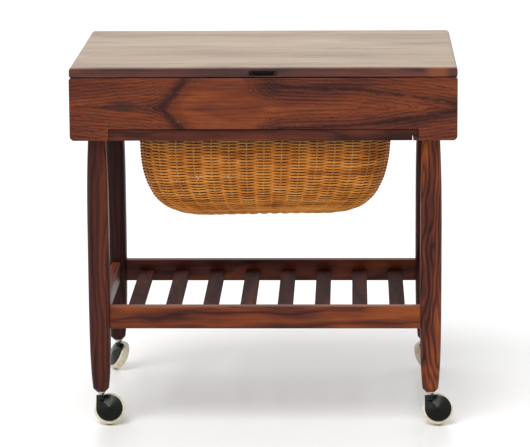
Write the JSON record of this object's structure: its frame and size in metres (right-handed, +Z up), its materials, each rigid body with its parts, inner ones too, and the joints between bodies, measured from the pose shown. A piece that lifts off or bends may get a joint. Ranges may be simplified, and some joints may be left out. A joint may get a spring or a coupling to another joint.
{
  "type": "sewing table with sliding trays and a pull-out basket",
  "caption": "Hinged-lid sewing table on ball castors, with sliding trays inside, a woven basket that pulls out beneath, and a slatted lower shelf.",
  "frame": {"origin": "on the floor, under the middle of the table top", "axes": "+X to the table's right as seen from its front, +Y to the back, +Z up"},
  "size_m": [0.6, 0.42, 0.577],
  "materials": {
    "rosewood_top": "satin, sun-faded",
    "rosewood_front": "satin oil, figured",
    "rosewood": "satin oil",
    "rosewood_legs": "satin oil, streaked",
    "rosewood_slats": "satin, dusty",
    "dark_insert": "satin",
    "pale_wood": "satin",
    "plywood": "satin",
    "cane": "satin, woven",
    "brass": "satin",
    "steel": "brushed",
    "nickel": "polished, worn",
    "castor_black": "gloss",
    "castor_tyre": "satin"
  },
  "bodies": {
    "base": {"front_panel": "rosewood_front", "back_panel": "rosewood", "left_panel": "rosewood", "right_panel": "rosewood", "bottom_panel": "plywood", "tray_ledge_front": "pale_wood", "tray_ledge_back": "pale_wood", "well_dividers": "pale_wood", "runner_left": "rosewood", "runner_right": "rosewood", "slide_stop": "pale_wood", "bearer_left": "rosewood", "bearer_right": "rosewood", "leg_front_left": "rosewood_legs", "leg_front_right": "rosewood_legs", "leg_back_left": "rosewood_legs", "leg_back_right": "rosewood_legs", "leg_bolts": "steel", "shelf_front_rail": "rosewood", "shelf_back_rail": "rosewood", "shelf_left_rail": "rosewood", "shelf_right_rail": "rosewood", "shelf_slat_1": "rosewood_slats", "shelf_slat_2": "rosewood_slats", "shelf_slat_3": "rosewood_slats", "shelf_slat_4": "rosewood_slats", "shelf_slat_5": "rosewood_slats", "shelf_slat_6": "rosewood_slats", "shelf_slat_7": "rosewood_slats", "shelf_slat_8": "rosewood_slats", "castor_stems": "nickel", "hinge_leaf_box": "brass", "hinge_pins": "brass", "hinge_screws_box": "brass"},
    "lid": {"lid_panel": "rosewood_top", "pull_insert": "dark_insert", "pull_pin": "brass", "hinge_leaf_lid": "brass", "hinge_screws_lid": "brass"},
    "tray_left": {"tray_left": "pale_wood", "tray_dividers_left": "pale_wood"},
    "tray_right": {"tray_right": "pale_wood", "tray_divider_right": "pale_wood", "spool_pegs": "pale_wood"},
    "basket_slide": {"slide_front_rail": "rosewood", "slide_back_rail": "rosewood", "slide_plate": "plywood", "basket_hoop": "plywood", "basket": "cane"},
    "castor_front_left": {"castor_hood_front_left": "castor_black"},
    "wheel_front_left": {"castor_wheel_front_left": "castor_tyre"},
    "castor_front_right": {"castor_hood_front_right": "castor_black"},
    "wheel_front_right": {"castor_wheel_front_right": "castor_tyre"},
    "castor_back_left": {"castor_hood_back_left": "castor_black"},
    "wheel_back_left": {"castor_wheel_back_left": "castor_tyre"},
    "castor_back_right": {"castor_hood_back_right": "castor_black"},
    "wheel_back_right": {"castor_wheel_back_right": "castor_tyre"}
  },
  "joints": [
    {"name": "lid_hinge", "type": "hinge", "parent": "base", "child": "lid", "pos_m": [0, 0.2045, 0.56015], "axis": [-1, 0, 0], "range_deg": [0, 95]},
    {"name": "tray_left_slide", "type": "slide", "parent": "base", "child": "tray_left", "axis": [1, 0, 0], "range_m": [0, 0.094]},
    {"name": "tray_right_slide", "type": "slide", "parent": "base", "child": "tray_right", "axis": [-1, 0, 0], "range_m": [0, 0.094]},
    {"name": "basket_slide_out", "type": "slide", "parent": "base", "child": "basket_slide", "axis": [0, -1, 0], "range_m": [0, 0.218]},
    {"name": "swivel_front_left", "type": "hinge", "parent": "base", "child": "castor_front_left", "pos_m": [-0.2605, -0.18, 0.0455], "axis": [0, 0, 1], "continuous": true},
    {"name": "spin_front_left", "type": "hinge", "parent": "castor_front_left", "child": "wheel_front_left", "pos_m": [-0.248, -0.181, 0.02713], "axis": [0, -0.9063, 0.4226], "continuous": true},
    {"name": "swivel_front_right", "type": "hinge", "parent": "base", "child": "castor_front_right", "pos_m": [0.2605, -0.18, 0.0455], "axis": [0, 0, 1], "continuous": true},
    {"name": "spin_front_right", "type": "hinge", "parent": "castor_front_right", "child": "wheel_front_right", "pos_m": [0.273, -0.181, 0.02713], "axis": [0, -0.9063, 0.4226], "continuous": true},
    {"name": "swivel_back_left", "type": "hinge", "parent": "base", "child": "castor_back_left", "pos_m": [-0.2605, 0.17, 0.0455], "axis": [0, 0, 1], "continuous": true},
    {"name": "spin_back_left", "type": "hinge", "parent": "castor_back_left", "child": "wheel_back_left", "pos_m": [-0.2665, 0.18101, 0.02713], "axis": [-0.828, -0.3686, 0.4226], "continuous": true},
    {"name": "swivel_back_right", "type": "hinge", "parent": "base", "child": "castor_back_right", "pos_m": [0.2605, 0.17, 0.0455], "axis": [0, 0, 1], "continuous": true},
    {"name": "spin_back_right", "type": "hinge", "parent": "castor_back_right", "child": "wheel_back_right", "pos_m": [0.2665, 0.18101, 0.02713], "axis": [0.828, -0.3686, 0.4226], "continuous": true}
  ]
}
